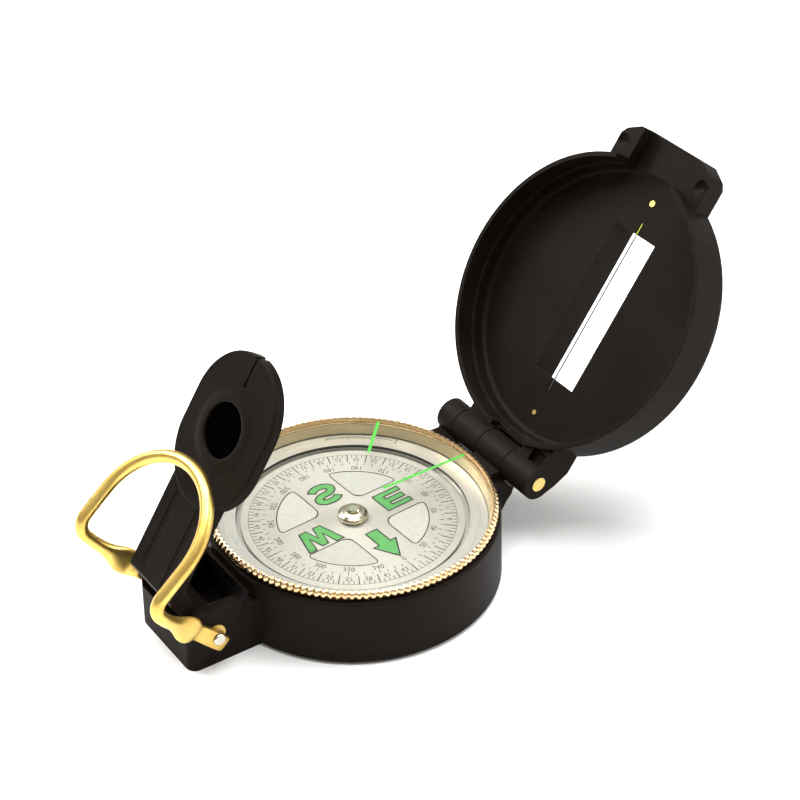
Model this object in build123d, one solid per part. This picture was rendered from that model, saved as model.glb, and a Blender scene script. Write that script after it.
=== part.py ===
from build123d import *
import os
from math import cos, radians, sin

# Folding sighting compass: a round dial case with a hinged slotted lid, a folding lens arm and a
# wire thumb loop. Millimetres. The origin is where the dial's pivot axis meets the flat underside.
# +Y is the sighting direction, from the lens arm to the lid hinge, and +Z is up.
# At rest the lid is open, and the lens arm and the thumb loop are raised.

# Case
CUP_FOOT_RADIUS = 27.4
CUP_RIM_RADIUS = 26.9
CUP_TOP = 13.3
CUP_FLOOR = 1.6
CUP_BORE = 24.5
COLLAR_BORE = 25.9
LEDGE_Z = 11.3

# Rear block that carries the lens arm and the thumb loop
BLOCK_HALF_WIDTH = 9.0
BLOCK_BACK = -39.6
BLOCK_WALL = 1.7
REAR_WALL = 1.3
REAR_WALL_TOP = 8.6
SIDE_WALL_TOP = 12.2
RECESS_FLOOR = 3.0
RECESS_FRONT = -26.45

# Lid, drawn closed and then swung open
LID_OPEN_DEG = 124.5
LID_HINGE_Y = 31.8
LID_HINGE_Z = 13.75
LID_RADIUS = 28.2
LID_BORE = 27.3
LID_INNER_BORE = 26.9
LID_STEP_Z = 16.0
LID_RIM_Z = 12.0
LID_FLOOR_Z = 19.1
LID_BACK_Z = 21.0
BOSS_TOP_Z = 24.8
SLOT_HALF_WIDTH = 5.36
SLOT_FRONT = -15.7
SLOT_REAR = 15.35
SLOT_FLARE = 1.7
BARREL_RADIUS = 3.25
BARREL_HALF_LENGTH = 13.7
CASE_KNUCKLES = ((-13.7, -9.2), (-1.4, 6.0))
LID_KNUCKLES = ((-9.0, -1.6), (6.2, 13.7))
HINGE_PIN_RADIUS = 1.42
NOSE_HALF_WIDTH = 12.3
NOSE_FRONT = -33.5
NOSE_OUTER_Z = 20.6
WIRE_Z = 19.4

# Lens arm, drawn folded flat over the dial and then raised
ARM_RAISED_DEG = 58.3
ARM_HINGE_Y = -34.6
ARM_HINGE_Z = 6.7
ARM_HALF_WIDTH = 6.9
ARM_BARREL_RADIUS = 2.75
PLATE_Y = -0.8
PLATE_RADIUS = 10.94
PLATE_STRAIGHT = 6.36
PLATE_LOW_Z = 15.5
PLATE_TOP_Z = 17.5
SLAB_TOP_Z = 17.35
LENS_HOLE_RADIUS = 4.9
LENS_RADIUS = 5.4

# Thumb loop, in its raised place
WIRE_RADIUS = 1.2
LEG_LENGTH = 20.45
LEG_RISE_DEG = 45.8
ARCH_RISE_DEG = 41.5
ARCH_HALF_WIDTH = 13.35
ARCH_STRAIGHT = 9.1
ARCH_ROUND = 13.0
TAB_INNER_X = 9.3
TAB_THICKNESS = 1.2
TAB_HALF_WIDTH = 1.6
TAB_END = 2.55
END_DROP = 0.6  # the flattened ends sit this far below the line from pivot to bend
PADDLE_RADIUS = 2.65
PADDLE_REACH = 8.3
PADDLE_INNER_X = 10.4
PADDLE_OUTER_X = 11.95
ARM_PIN_RADIUS = 0.9

# Turning bezel and its crystal
BEZEL_RADIUS = 26.4
BEZEL_LOW_Z = 13.6
BEZEL_TOP_Z = 15.2
SKIRT_RADIUS = 25.6
SKIRT_LOW_Z = 12.1
BEZEL_TEETH = 120
TOOTH_DEPTH = 0.4
CRYSTAL_RADIUS = 25.35
CRYSTAL_LOW_Z = 14.1
CRYSTAL_TOP_Z = 15.0
LINE_DEPTH = 0.15
LINE_WIDTH = 0.6

# Dial card and its pivot
CARD_RADIUS = 20.4
CARD_HEADING_DEG = 3.5  # where the card has come to rest
CARD_LOW_Z = 10.85
CARD_TOP_Z = 11.2
HUB_RADIUS = 2.8
HUB_TOP_Z = 13.5
STEM_RADIUS = 1.8
JEWEL_RADIUS = 0.9
JEWEL_CONE_TOP = 12.0
TIP_GAP = 0.05
BOWL_RADIUS = 24.4
BOWL_BORE = 21.6
BOWL_SHELF_Z = 10.4
BOWL_WELL_RADIUS = 19.6
BOWL_LOW_Z = 2.2
BOWL_FLOOR = 0.8
FLANGE_BORE = 21.3
FLANGE_TOP_Z = 11.9

RUN_GAP = 0.05  # radial clearance of a pin that turns in its hole
LID_AXIS = Axis((0, LID_HINGE_Y, LID_HINGE_Z), (1, 0, 0))
ARM_AXIS = Axis((0, ARM_HINGE_Y, ARM_HINGE_Z), (1, 0, 0))
UPWARD = (Align.CENTER, Align.CENTER, Align.MIN)


def disc(radius, low, high, x=0.0, y=0.0):
    """A cylinder that stands upright between two heights."""
    return Pos(x, y, low) * Cylinder(radius, high - low, align=UPWARD)


def tube(outer, inner, low, high):
    return disc(outer, low, high) - disc(inner, low - 1, high + 1)


def block(x_low, x_high, y_low, y_high, z_low, z_high):
    box = Box(x_high - x_low, y_high - y_low, z_high - z_low, align=(Align.MIN,) * 3)
    return Pos(x_low, y_low, z_low) * box


def turned(points):
    """A solid of revolution about Z from (radius, height) points."""
    return revolve(Plane.XZ * Polygon(*points, align=None), Axis.Z, 360)


def slab_across(points, x_low, x_high):
    """A (y, z) outline pulled along X."""
    face = Plane.YZ.offset(x_low) * Polygon(*points, align=None)
    return extrude(face, x_high - x_low, dir=(1, 0, 0))


def plate(points, low, high):
    """An (x, y) outline pulled upward."""
    return extrude(Pos(0, 0, low) * Polygon(*points, align=None), high - low, dir=(0, 0, 1))


def rod(radius, x_low, x_high, y, z):
    """A cylinder along X."""
    bar = Cylinder(radius, x_high - x_low, align=UPWARD)
    return Pos(x_low, y, z) * Rot(0, 90, 0) * bar


def lid_rod(radius, x_low, x_high):
    return rod(radius, x_low, x_high, LID_HINGE_Y, LID_HINGE_Z)


def arm_rod(radius, x_low, x_high):
    return rod(radius, x_low, x_high, ARM_HINGE_Y, ARM_HINGE_Z)


def both_sides(piece):
    return piece + mirror(piece, Plane.YZ)


def open_lid(piece):
    return piece.rotate(LID_AXIS, -LID_OPEN_DEG)


def raise_arm(piece):
    return piece.rotate(ARM_AXIS, ARM_RAISED_DEG)


# ---------------------------------------------------------------- case
CASE_SCREW_CIRCLE = 17.0
SCREW_HEAD_RADIUS = 1.7
SCREW_RADIUS = 0.9
SCREW_COUNT = 3
SNAP_LOW_Z = 12.55
SNAP_HIGH_Z = 12.95


def screw_places():
    return PolarLocations(CASE_SCREW_CIRCLE, SCREW_COUNT, start_angle=90)


def cup_outside():
    foot_chamfer = 0.7
    return turned([
        (0, 0),
        (CUP_FOOT_RADIUS - foot_chamfer, 0),
        (CUP_FOOT_RADIUS, foot_chamfer),
        (CUP_RIM_RADIUS, CUP_TOP - 0.4),
        (CUP_RIM_RADIUS - 0.3, CUP_TOP),
        (0, CUP_TOP),
    ])


def rear_block():
    corner = 1.9
    depth = -20.0 - BLOCK_BACK
    outline = Pos(0, BLOCK_BACK + depth / 2) * RectangleRounded(2 * BLOCK_HALF_WIDTH, depth, corner)
    body = extrude(outline, SIDE_WALL_TOP, dir=(0, 0, 1))
    side_profile = [
        (BLOCK_BACK - 1, -1),
        (BLOCK_BACK - 1, 10.4),
        (BLOCK_BACK, 10.4),
        (BLOCK_BACK + 0.7, 11.5),
        (BLOCK_BACK + 2.2, SIDE_WALL_TOP),
        (-30.6, SIDE_WALL_TOP),
        (-29.2, 11.6),
        (-27.6, 10.0),
        (-20.0, 10.0),
        (-20.0, -1),
    ]
    return body & slab_across(side_profile, -BLOCK_HALF_WIDTH - 1, BLOCK_HALF_WIDTH + 1)


def rear_recess():
    inside = BLOCK_HALF_WIDTH - BLOCK_WALL
    room = block(-inside, inside, BLOCK_BACK + REAR_WALL, RECESS_FRONT, RECESS_FLOOR, 20)
    over_wall = block(-inside, inside, BLOCK_BACK - 1, BLOCK_BACK + REAR_WALL + 1, REAR_WALL_TOP, 20)
    return room + over_wall


def hinge_web():
    low_left = CASE_KNUCKLES[0][0]
    low_right = 8.4
    low_web = slab_across([
        (20.0, 5.0),
        (27.2, 5.0),
        (28.6, 7.6),
        (29.8, 9.0),
        (30.8, 11.6),
        (20.0, 11.6),
    ], low_left, low_right)
    low_web = low_web - lid_rod(BARREL_RADIUS + 0.35, low_left - 1, low_right + 1)
    far_web = slab_across([
        (20.0, 5.0),
        (27.2, 5.0),
        (30.5, 10.0),
        (33.4, 11.6),
        (31.8, LID_HINGE_Z),
        (29.2, 12.4),
        (28.9, 11.6),
        (20.0, 11.6),
    ], *CASE_KNUCKLES[0])
    middle = slab_across([
        (20.0, 6.0),
        (27.2, 6.0),
        (30.5, 11.2),
        (31.8, LID_HINGE_Z),
        (31.0, 15.0),
        (28.9, CUP_TOP),
        (20.0, CUP_TOP),
    ], *CASE_KNUCKLES[1])
    webs = low_web + far_web + middle
    for low, high in CASE_KNUCKLES:
        webs = webs + lid_rod(BARREL_RADIUS, low, high)
    return webs


def case_shell():
    body = cup_outside() + rear_block()
    body = body - rear_recess()
    lip_half_width = BLOCK_HALF_WIDTH - BLOCK_WALL
    body = body + block(-lip_half_width, lip_half_width, RECESS_FRONT - 0.45, RECESS_FRONT + 0.2, 10.6, 11.1)
    body = body + hinge_web()
    body = body - disc(CUP_BORE, CUP_FLOOR, 30)
    body = body - disc(COLLAR_BORE, LEDGE_Z, 30)
    body = body - tube(COLLAR_BORE + 0.4, COLLAR_BORE - 1, SNAP_LOW_Z - 0.05, SNAP_HIGH_Z + 0.05)
    body = body - lid_rod(HINGE_PIN_RADIUS + RUN_GAP, -20, 20)
    body = body - arm_rod(ARM_PIN_RADIUS, -20, 20)
    for place in screw_places():
        body = body - place * disc(SCREW_RADIUS, -1, CUP_FLOOR + 1)
        body = body - place * disc(SCREW_HEAD_RADIUS + 0.1, -1, 0.8)
    return body


def case_screws():
    head_top = 0.8
    drive_width = 0.45
    screw = disc(SCREW_HEAD_RADIUS, 0.15, head_top) + disc(SCREW_RADIUS, head_top, BOWL_LOW_Z + BOWL_FLOOR)
    screw = screw - block(-SCREW_HEAD_RADIUS, SCREW_HEAD_RADIUS, -drive_width / 2, drive_width / 2, 0, 0.5)
    return Compound(children=[place * screw for place in screw_places()])


def bowl_gasket():
    gasket = tube(CASE_SCREW_CIRCLE + 5.0, CASE_SCREW_CIRCLE - 5.0, CUP_FLOOR, BOWL_LOW_Z)
    for place in screw_places():
        gasket = gasket - place * disc(SCREW_RADIUS + 0.1, 0, 5)
    return gasket


def capsule_bowl():
    bowl = disc(BOWL_RADIUS, BOWL_LOW_Z, LEDGE_Z)
    bowl = bowl - disc(BOWL_BORE, BOWL_SHELF_Z, LEDGE_Z + 1)
    bowl = bowl - disc(BOWL_WELL_RADIUS, BOWL_LOW_Z + BOWL_FLOOR, LEDGE_Z + 1)
    for place in screw_places():
        bowl = bowl - place * disc(SCREW_RADIUS, 0, 5)
    return bowl


def flange_ring():
    seat = tube(COLLAR_BORE - 0.1, FLANGE_BORE, LEDGE_Z, LEDGE_Z + 0.3)
    return seat + tube(BEZEL_RADIUS - 1.9, FLANGE_BORE, LEDGE_Z, FLANGE_TOP_Z)


# ---------------------------------------------------------------- dial card
POST_RADIUS = 2.2
POST_TOP = 8.6
MAGNET_LENGTH = 17.0
MAGNET_WIDTH = 6.0
MAGNET_LOW_Z = 9.75
PANEL_DEPTH = 0.1


def pivot_post():
    floor_top = BOWL_LOW_Z + BOWL_FLOOR
    post = turned([
        (0, floor_top),
        (4.2, floor_top),
        (4.2, floor_top + 0.8),
        (POST_RADIUS, floor_top + 1.6),
        (POST_RADIUS, POST_TOP - 0.5),
        (POST_RADIUS - 0.5, POST_TOP),
        (0, POST_TOP),
    ])
    return post - disc(0.5, POST_TOP - 2.5, POST_TOP + 1)


def pivot_tip():
    return turned([
        (0, POST_TOP - 2.5),
        (0.5, POST_TOP - 2.5),
        (0.5, 10.6),
        (0, JEWEL_CONE_TOP - TIP_GAP),
    ])


def card_panel():
    """One of the four rounded panels between the arms of the card's cross."""
    outer = 13.85
    spoke_half = 4.0
    quarter = Circle(outer) & Pos(spoke_half + outer / 2, spoke_half + outer / 2) * Rectangle(outer, outer)
    return fillet(quarter.vertices(), 1.35)


def dial_card():
    card = disc(CARD_RADIUS, CARD_LOW_Z, CARD_TOP_Z) - disc(STEM_RADIUS, 0, 30)
    panel = extrude(Pos(0, 0, CARD_TOP_Z - PANEL_DEPTH) * card_panel(), 3, dir=(0, 0, 1))
    for quarter in range(4):
        card = card - Rot(0, 0, CARD_HEADING_DEG + 90 * quarter) * panel
    return card


def card_magnet():
    bar = block(-MAGNET_LENGTH / 2, MAGNET_LENGTH / 2, -MAGNET_WIDTH / 2, MAGNET_WIDTH / 2, MAGNET_LOW_Z, CARD_LOW_Z)
    return Rot(0, 0, CARD_HEADING_DEG) * bar - disc(STEM_RADIUS, 0, 30)


def card_hub():
    hub = turned([
        (0, 9.5),
        (STEM_RADIUS, 9.5),
        (STEM_RADIUS, CARD_TOP_Z),
        (HUB_RADIUS - 0.5, CARD_TOP_Z),
        (HUB_RADIUS - 0.1, CARD_TOP_Z + 0.4),
        (HUB_RADIUS, CARD_TOP_Z + 0.8),
        (HUB_RADIUS - 0.15, CARD_TOP_Z + 1.15),
        (HUB_RADIUS - 0.65, CARD_TOP_Z + 1.5),
        (HUB_RADIUS - 1.4, CARD_TOP_Z + 1.7),
        (HUB_RADIUS - 1.4, HUB_TOP_Z - 0.15),
        (HUB_RADIUS - 1.55, HUB_TOP_Z),
        (0, HUB_TOP_Z),
    ])
    return hub - disc(JEWEL_RADIUS, 0, 30)


def jewel_cup():
    top = HUB_TOP_Z - 0.15
    low = 11.4
    cup = turned([(0, JEWEL_CONE_TOP), (0.55, low), (JEWEL_RADIUS, low), (JEWEL_RADIUS, top), (0, top)])
    return cup


# ---------------------------------------------------------------- bezel
def knurled_ring():
    points = []
    for step in range(2 * BEZEL_TEETH):
        radius = BEZEL_RADIUS - TOOTH_DEPTH * (step % 2)
        angle = radians(180.0 * step / BEZEL_TEETH)
        points.append((radius * cos(angle), radius * sin(angle)))
    return plate(points, BEZEL_LOW_Z, BEZEL_TOP_Z)


def bezel_ring():
    ring = knurled_ring() + disc(SKIRT_RADIUS, SKIRT_LOW_Z, BEZEL_LOW_Z)
    throat = turned([(0, SKIRT_LOW_Z - 1), (24.55, SKIRT_LOW_Z - 1), (24.55, SKIRT_LOW_Z), (24.95, 14.05), (24.95, 20), (0, 20)])
    ring = ring - throat
    ring = ring - disc(CRYSTAL_RADIUS + 0.05, CRYSTAL_LOW_Z - 0.05, 20)
    return ring - tube(SKIRT_RADIUS + 1, SKIRT_RADIUS - 0.45, SNAP_LOW_Z - 0.1, SNAP_HIGH_Z + 0.1)


def bezel_snap_ring():
    gap = 6.0
    ring = tube(COLLAR_BORE + 0.35, SKIRT_RADIUS - 0.25, SNAP_LOW_Z, SNAP_HIGH_Z)
    return ring - block(-gap / 2, gap / 2, -40, 0, 0, 20)


def crystal_gasket():
    return tube(CRYSTAL_RADIUS, 25.0, CRYSTAL_LOW_Z - 0.05, CRYSTAL_LOW_Z + 0.15)


def index_line(inner, outer, angle):
    bar = block(-LINE_WIDTH / 2, LINE_WIDTH / 2, inner, outer, CRYSTAL_TOP_Z - LINE_DEPTH, CRYSTAL_TOP_Z)
    return Rot(0, 0, angle) * bar


LONG_LINE = (6.6, 24.9, 0)
SHORT_LINE = (15.0, 24.9, 45)


def bezel_crystal():
    glass = disc(CRYSTAL_RADIUS, CRYSTAL_LOW_Z + 0.15, CRYSTAL_TOP_Z)
    return glass - index_line(*LONG_LINE) - index_line(*SHORT_LINE)


# ---------------------------------------------------------------- lid
def lid_arms():
    profile = [
        (24.0, 13.0),
        (28.6, 12.6),
        (31.8, LID_HINGE_Z),
        (34.3, 15.8),
        (31.4, 18.0),
        (28.2, 19.6),
        (24.0, 19.6),
    ]
    arms = slab_across(profile, LID_KNUCKLES[0][0], LID_KNUCKLES[1][1])
    for low, high in LID_KNUCKLES:
        arms = arms + lid_rod(BARREL_RADIUS, low, high)
    return arms - block(9.4, 12.9, 26.4, 29.0, 10, 13.7)


def lid_nose():
    outline = [
        (-NOSE_HALF_WIDTH, -24.0),
        (-NOSE_HALF_WIDTH, -30.6),
        (-NOSE_HALF_WIDTH + 0.9, -31.9),
        (-8.4, NOSE_FRONT),
        (8.4, NOSE_FRONT),
        (NOSE_HALF_WIDTH - 0.9, -31.9),
        (NOSE_HALF_WIDTH, -30.6),
        (NOSE_HALF_WIDTH, -24.0),
    ]
    nose = plate(outline, 15.5, NOSE_OUTER_Z)
    nose = fillet(nose.edges().group_by(Axis.Z)[-1], 1.2)
    sight_notch = plate([(-1.0, NOSE_FRONT - 1), (0.0, NOSE_FRONT + 0.8), (1.0, NOSE_FRONT - 1)], 0, 40)
    dimple = Pos(10.8, -29.4, 14.3) * Sphere(1.9)
    return nose - sight_notch - both_sides(dimple)


def slot_boss():
    half_width = 9.2
    low = LID_BACK_Z - 0.6
    length = SLOT_REAR - SLOT_FRONT + 9.6
    middle = (SLOT_REAR + SLOT_FRONT) / 2
    base = Pos(0, middle, low) * RectangleRounded(2 * half_width, length, 2.0)
    return extrude(base, BOSS_TOP_Z - low, dir=(0, 0, 1), taper=18)


WEB_ROOM_Z = 14.4  # the closed lid's wall starts this high where the case's hinge web passes
ARM_ROOM_HALF_WIDTH = 7.5
ARM_ROOM_Z = 18.6
WIRE_PIN_FRONT = -22.1
WIRE_PIN_REAR = 22.8
FRONT_PIN_RADIUS = 0.62
REAR_PIN_RADIUS = 0.48
SIGHT_WIRE_RADIUS = 0.14
WIRE_TAIL = 2.4


def wire_groove():
    low = LID_FLOOR_Z - 1
    front = block(-0.25, 0.25, SLOT_FRONT - WIRE_TAIL, SLOT_FRONT + 1, low, WIRE_Z + 0.15)
    rear = block(-0.25, 0.25, SLOT_REAR - 1, SLOT_REAR + WIRE_TAIL, low, WIRE_Z + 0.15)
    return front + rear


def lid_closed():
    body = disc(LID_RADIUS, LID_RIM_Z, LID_BACK_Z)
    body = fillet(body.edges().group_by(Axis.Z)[-1], 1.8)
    body = body + slot_boss() + lid_arms() + lid_nose()
    body = body - disc(LID_BORE, 0, LID_STEP_Z)
    inner = disc(LID_INNER_BORE, LID_STEP_Z - 1, LID_FLOOR_Z)
    body = body - fillet(inner.edges().group_by(Axis.Z)[-1], 1.0)
    body = body - slab_across([
        (SLOT_FRONT, 0),
        (SLOT_FRONT, 40),
        (SLOT_REAR + SLOT_FLARE, 40),
        (SLOT_REAR + SLOT_FLARE, BOSS_TOP_Z),
        (SLOT_REAR, LID_FLOOR_Z),
        (SLOT_REAR, 0),
    ], -SLOT_HALF_WIDTH, SLOT_HALF_WIDTH)
    gap = 0.2
    for low, high in CASE_KNUCKLES:
        body = body - lid_rod(BARREL_RADIUS + 0.45, low - gap, high + gap)
    low, high = CASE_KNUCKLES[1]
    body = body - block(low - gap, high + gap, 26.5, 40, 0, WEB_ROOM_Z)
    body = body - block(low - 0.8, high + 0.8, 26.5, 28.3, 0, WEB_ROOM_Z)
    body = body - block(-ARM_ROOM_HALF_WIDTH, ARM_ROOM_HALF_WIDTH, -40, -20, 0, ARM_ROOM_Z)
    body = body - wire_groove()
    body = body - disc(FRONT_PIN_RADIUS, 18, WIRE_Z + 0.6, 0, WIRE_PIN_FRONT)
    body = body - disc(REAR_PIN_RADIUS, 18, WIRE_Z + 0.6, 0, WIRE_PIN_REAR)
    return body - lid_rod(HINGE_PIN_RADIUS, -20, 20)


def sight_wire():
    length = SLOT_REAR - SLOT_FRONT + 2 * WIRE_TAIL
    wire = Cylinder(SIGHT_WIRE_RADIUS, length, align=UPWARD)
    return Pos(0, SLOT_FRONT - WIRE_TAIL, WIRE_Z) * Rot(-90, 0, 0) * wire


def wire_pins():
    low = LID_FLOOR_Z - 0.2
    high = WIRE_Z + 0.6
    front = disc(FRONT_PIN_RADIUS, low, high, 0, WIRE_PIN_FRONT)
    rear = disc(REAR_PIN_RADIUS, low, high, 0, WIRE_PIN_REAR)
    return Compound(children=[front, rear])


# ---------------------------------------------------------------- lens arm
def arm_folded():
    stadium = Rot(0, 0, 90) * SlotCenterToCenter(PLATE_STRAIGHT, 2 * PLATE_RADIUS)
    holder = extrude(Pos(0, PLATE_Y, PLATE_LOW_Z) * stadium, PLATE_TOP_Z - PLATE_LOW_Z, dir=(0, 0, 1))
    holder = fillet(holder.edges().group_by(Axis.Z)[-1], 0.35)
    collar = turned([
        (0, PLATE_TOP_Z - 0.5),
        (7.7, PLATE_TOP_Z - 0.5),
        (7.7, PLATE_TOP_Z),
        (7.0, PLATE_TOP_Z + 0.08),
        (6.2, PLATE_TOP_Z + 0.28),
        (5.5, PLATE_TOP_Z + 0.35),
        (LENS_HOLE_RADIUS, PLATE_TOP_Z + 0.3),
        (0, PLATE_TOP_Z + 0.3),
    ])
    heel = slab_across([
        (ARM_HINGE_Y - 0.3, ARM_HINGE_Z + 2.6),
        (ARM_HINGE_Y - 0.3, ARM_HINGE_Z + 3.8),
        (ARM_HINGE_Y + 3.0, SLAB_TOP_Z - 0.5),
        (ARM_HINGE_Y + 3.6, SLAB_TOP_Z),
        (PLATE_Y - 9.0, SLAB_TOP_Z),
        (PLATE_Y - 9.0, PLATE_LOW_Z),
        (ARM_HINGE_Y + 6.6, PLATE_LOW_Z),
        (ARM_HINGE_Y + 3.2, ARM_HINGE_Z + 4.4),
        (ARM_HINGE_Y + ARM_BARREL_RADIUS, ARM_HINGE_Z),
    ], -ARM_HALF_WIDTH, ARM_HALF_WIDTH)
    body = heel + arm_rod(ARM_BARREL_RADIUS, -ARM_HALF_WIDTH, ARM_HALF_WIDTH)
    body = body + holder + Pos(0, PLATE_Y, 0) * collar
    for x in (-3.4, 3.4):
        groove_depth = 0.12
        body = body - block(x - 0.8, x + 0.8, -30.0, -14.5, SLAB_TOP_Z - groove_depth, SLAB_TOP_Z + 0.3)
    body = body - disc(LENS_HOLE_RADIUS, 0, 30, 0, PLATE_Y)
    body = body - disc(LENS_RADIUS + 0.05, 0, PLATE_TOP_Z - 0.4, 0, PLATE_Y)
    tip = PLATE_Y + PLATE_STRAIGHT / 2 + PLATE_RADIUS
    body = body - block(-0.3, 0.3, PLATE_Y + 8.2, tip + 1, PLATE_TOP_Z - 0.35, PLATE_TOP_Z + 1)
    body = body - block(-0.45, 0.45, tip - 0.5, tip + 1, 0, 30)
    return body - arm_rod(ARM_PIN_RADIUS + RUN_GAP, -20, 20)


def eyepiece_lens():
    low = PLATE_LOW_Z + 0.75
    high = PLATE_TOP_Z - 0.4
    edge = 0.3
    lens = turned([
        (0, low),
        (LENS_RADIUS - 1.4, low + 0.1),
        (LENS_RADIUS, low + edge),
        (LENS_RADIUS, high),
        (LENS_HOLE_RADIUS, high),
        (LENS_HOLE_RADIUS - 0.9, high + 0.1),
        (LENS_HOLE_RADIUS - 2.4, high + 0.25),
        (0, high + 0.35),
    ])
    return Pos(0, PLATE_Y, 0) * lens


def lens_retainer():
    return Pos(0, PLATE_Y, 0) * tube(LENS_RADIUS, LENS_RADIUS - 0.6, PLATE_LOW_Z + 0.1, PLATE_LOW_Z + 0.7)


def arm_spring():
    """Flat steel spring on the recess floor that presses on the arm's barrel."""
    width = 4.0
    blade = slab_across([
        (-37.6, RECESS_FLOOR),
        (-27.0, RECESS_FLOOR),
        (-27.0, RECESS_FLOOR + 0.25),
        (-30.5, RECESS_FLOOR + 0.25),
        (ARM_HINGE_Y, ARM_HINGE_Z - ARM_BARREL_RADIUS - 0.05),
        (ARM_HINGE_Y, ARM_HINGE_Z - ARM_BARREL_RADIUS - 0.3),
        (-37.6, RECESS_FLOOR + 0.25),
    ], -width / 2, width / 2)
    return blade


# ---------------------------------------------------------------- thumb loop
def along(start, rise_deg, distance, backward):
    way = -1 if backward else 1
    y = start[0] + way * distance * cos(radians(rise_deg))
    z = start[1] + distance * sin(radians(rise_deg))
    return (y, z)


def thumb_loop():
    pivot = (ARM_HINGE_Y, ARM_HINGE_Z)
    corner = along(pivot, LEG_RISE_DEG, LEG_LENGTH, True)
    shoulder = along(corner, ARCH_RISE_DEG, ARCH_STRAIGHT, False)
    apex = along(corner, ARCH_RISE_DEG, ARCH_STRAIGHT + ARCH_ROUND, False)
    ends_origin = along(pivot, LEG_RISE_DEG - 90, END_DROP, True)
    foot = along(ends_origin, LEG_RISE_DEG, PADDLE_REACH - 1.0, True)
    foot_x = (PADDLE_INNER_X + PADDLE_OUTER_X) / 2
    right = FilletPolyline(
        (foot_x, *foot),
        (ARCH_HALF_WIDTH, *corner),
        (ARCH_HALF_WIDTH, *shoulder),
        radius=3.2,
    )
    left = FilletPolyline(
        (-ARCH_HALF_WIDTH, *shoulder),
        (-ARCH_HALF_WIDTH, *corner),
        (-foot_x, *foot),
        radius=3.2,
    )
    arch = ThreePointArc((ARCH_HALF_WIDTH, *shoulder), (0, *apex), (-ARCH_HALF_WIDTH, *shoulder))
    path = Wire([*right.edges(), *arch.edges(), *left.edges()])
    section = Plane(origin=path @ 0, z_dir=path % 0) * Circle(WIRE_RADIUS)
    wire = sweep(section, path=path)
    tab_outer = TAB_INNER_X + TAB_THICKNESS
    tab = block(TAB_INNER_X, tab_outer, -TAB_END, PADDLE_REACH, -TAB_HALF_WIDTH, TAB_HALF_WIDTH)
    disc_blank = Cylinder(PADDLE_RADIUS, PADDLE_OUTER_X - PADDLE_INNER_X, align=UPWARD)
    paddle = Pos(PADDLE_INNER_X, PADDLE_REACH, 0) * Rot(0, 90, 0) * disc_blank
    ends = tab + paddle
    ends = Pos(0, *ends_origin) * Rot(180 - LEG_RISE_DEG, 0, 0) * ends
    loop = wire + both_sides(ends)
    return loop - arm_rod(ARM_PIN_RADIUS + RUN_GAP, -20, 20)


def arm_pin():
    head_inner = TAB_INNER_X + TAB_THICKNESS + 0.1
    pin = arm_rod(ARM_PIN_RADIUS, -head_inner, head_inner)
    head = arm_rod(1.15, head_inner, head_inner + 0.35)
    head = fillet(head.edges().group_by(Axis.X)[-1], 0.3)
    return pin + both_sides(head)


def loop_washers():
    washer = arm_rod(2.0, BLOCK_HALF_WIDTH, BLOCK_HALF_WIDTH + 0.2) - arm_rod(ARM_PIN_RADIUS, 0, 20)
    return Compound(children=[washer, mirror(washer, Plane.YZ)])


NODES = {
    "case_shell": case_shell,
    "case_screws": case_screws,
    "bowl_gasket": bowl_gasket,
    "capsule_bowl": capsule_bowl,
    "flange_ring": flange_ring,
    "pivot_post": pivot_post,
    "pivot_tip": pivot_tip,
    "dial_card": dial_card,
    "card_magnet": card_magnet,
    "card_hub": card_hub,
    "jewel_cup": jewel_cup,
    "bezel_ring": bezel_ring,
    "bezel_crystal": bezel_crystal,
    "crystal_gasket": crystal_gasket,
    "bezel_snap_ring": bezel_snap_ring,
    "bezel_line_long": lambda: index_line(*LONG_LINE),
    "bezel_line_short": lambda: index_line(*SHORT_LINE),
    "lid_shell": lambda: open_lid(lid_closed()),
    "sight_wire": lambda: open_lid(sight_wire()),
    "wire_pins": lambda: open_lid(wire_pins()),
    "lid_hinge_pin": lambda: lid_rod(HINGE_PIN_RADIUS, -BARREL_HALF_LENGTH, BARREL_HALF_LENGTH + 0.15),
    "eyepiece_arm": lambda: raise_arm(arm_folded()),
    "eyepiece_lens": lambda: raise_arm(eyepiece_lens()),
    "lens_retainer": lambda: raise_arm(lens_retainer()),
    "arm_pin": arm_pin,
    "arm_spring": arm_spring,
    "thumb_loop": thumb_loop,
    "loop_washers": loop_washers,
}

os.makedirs("parts", exist_ok=True)
for node, make in NODES.items():
    export_step(make(), f"parts/{node}.step")
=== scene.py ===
import math

import bmesh
import bpy
from mathutils import Matrix, Vector


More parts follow.
